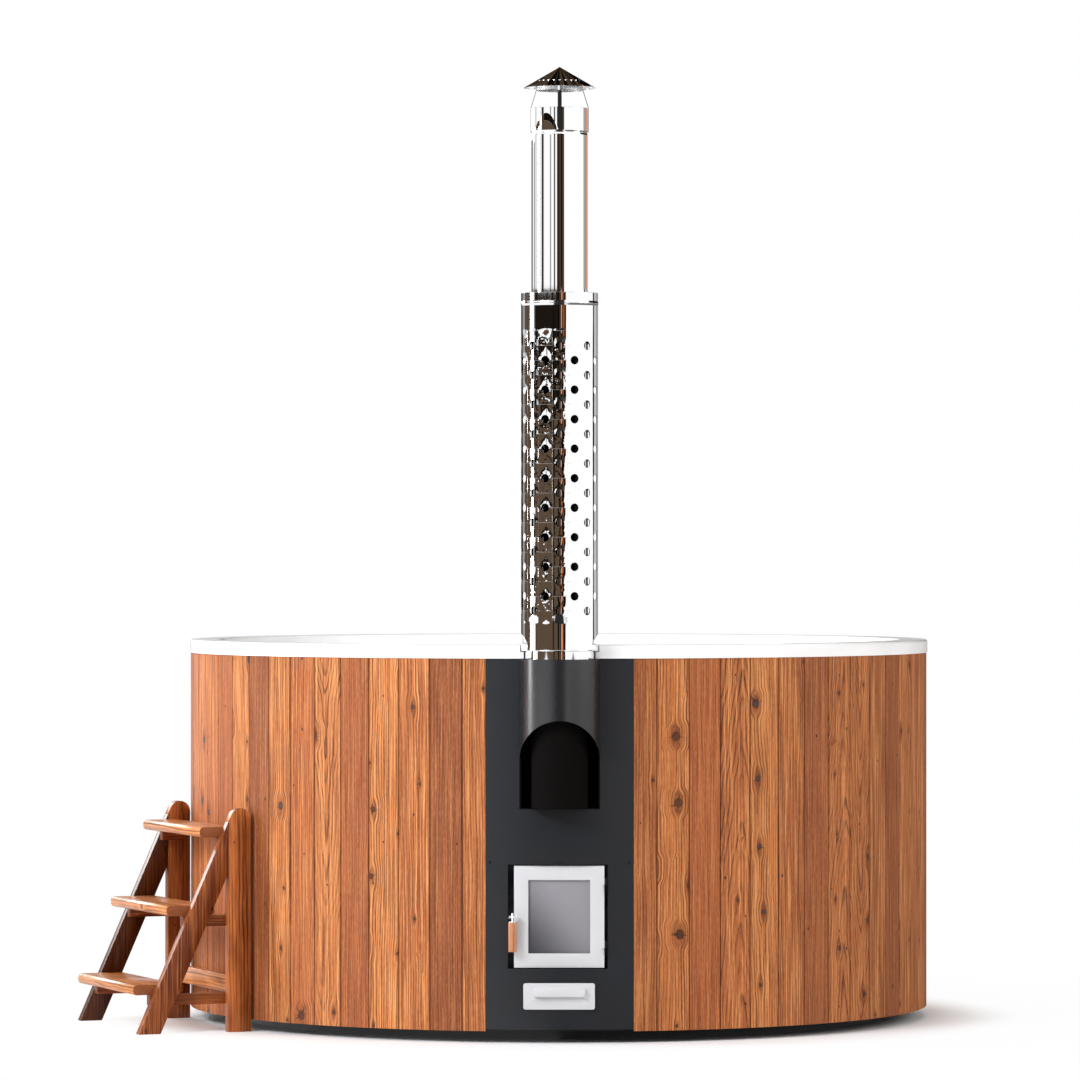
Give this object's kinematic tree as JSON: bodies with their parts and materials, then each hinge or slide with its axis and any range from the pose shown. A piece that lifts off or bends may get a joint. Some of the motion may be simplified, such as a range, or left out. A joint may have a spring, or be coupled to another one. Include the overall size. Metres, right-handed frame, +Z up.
{
  "type": "wood-fired hot tub",
  "caption": "Round hot tub clad in upright boards with a moulded basin, a built-in wood stove behind a curved steel panel, a perforated flue shield and wooden entry steps.",
  "frame": {"origin": "on the floor under the middle of the tub", "axes": "+Z up along the tub's axis, -Y out of the stove's front, +X to the right as seen from the front"},
  "size_m": [2.2951, 2.1875, 2.502],
  "materials": {
    "cladding": "oiled",
    "plywood": "raw",
    "black_base": "matte",
    "basin_white": "gloss",
    "panel_grey": "satin",
    "sleeve_grey": "satin",
    "stove_black": "matte",
    "stove_steel": "satin",
    "cast_grate": "raw",
    "polished_steel": "mirror",
    "bare_steel": "brushed",
    "door_grey": "satin",
    "smoked_glass": "gloss",
    "seal_rope": "woven",
    "fitting_white": "gloss",
    "drain_grey": "matte",
    "valve_brass": "satin",
    "step_frame": "oiled",
    "step_tread": "oiled",
    "grip_wood": "turned"
  },
  "bodies": {
    "tub": {"base_skirt": "black_base", "base_bearers": "black_base", "base_plate": "plywood", "floor_joists": "plywood", "plywood_hoops": "plywood", "rim_core": "plywood", "basin": "basin_white", "basin_hood": "basin_white", "basin_well": "basin_white", "basin_floor": "basin_white", "boards_front_left": "cladding", "boards_front_right": "cladding", "boards_rear_left": "cladding", "boards_rear_right": "cladding", "boards_cut": "cladding", "front_panel": "panel_grey", "front_panel_low": "panel_grey", "panel_screws": "bare_steel", "flue_sleeve": "sleeve_grey", "niche_back": "stove_black", "door_surround": "stove_black", "ash_surround": "stove_black", "hinge_blocks": "stove_black", "hinge_pins": "bare_steel", "latch_keeper": "bare_steel", "stove_front": "stove_steel", "water_jacket": "stove_steel", "firebox": "stove_steel", "fire_grate": "cast_grate", "stove_feet": "stove_steel", "ash_rails": "bare_steel", "smoke_riser": "stove_black", "flue_tee": "stove_black", "flue_pipe": "polished_steel", "heat_shield": "polished_steel", "shield_spacers": "bare_steel", "cap_straps": "bare_steel", "cap_ring": "bare_steel", "rain_cap": "polished_steel", "water_pipes": "bare_steel", "fitting_nuts": "black_base", "wall_fittings": "fitting_white", "drain_inlet": "bare_steel", "drain_pipe": "drain_grey", "drain_valve": "valve_brass", "step_posts": "step_frame", "step_stringers": "step_frame", "step_treads": "step_tread", "step_cleats": "step_frame", "step_rail": "step_tread"},
    "fire_door": {"door_frame": "door_grey", "door_glass": "smoked_glass", "glass_clips": "bare_steel", "door_gasket": "seal_rope", "latch_stud": "bare_steel"},
    "latch": {"latch_lever": "bare_steel", "latch_grip": "grip_wood"},
    "ash_drawer": {"ash_front": "door_grey", "ash_tray": "bare_steel"},
    "drain_handle": {"drain_lever": "bare_steel"}
  },
  "joints": [
    {"name": "door_hinge", "type": "hinge", "parent": "tub", "child": "fire_door", "pos_m": [0.1188, -0.996, 0.324], "axis": [0, 0, 1], "range_deg": [0, 105]},
    {"name": "latch_pivot", "type": "hinge", "parent": "fire_door", "child": "latch", "pos_m": [-0.111, -1, 0.31919], "axis": [0, 1, 0], "range_deg": [0, 38]},
    {"name": "drawer_slide", "type": "slide", "parent": "tub", "child": "ash_drawer", "axis": [0, -1, 0], "range_m": [0, 0.3]},
    {"name": "drain_turn", "type": "hinge", "parent": "tub", "child": "drain_handle", "pos_m": [0.04375, 1.0265, 0.083], "axis": [0, 0, 1], "range_deg": [0, 90]}
  ]
}
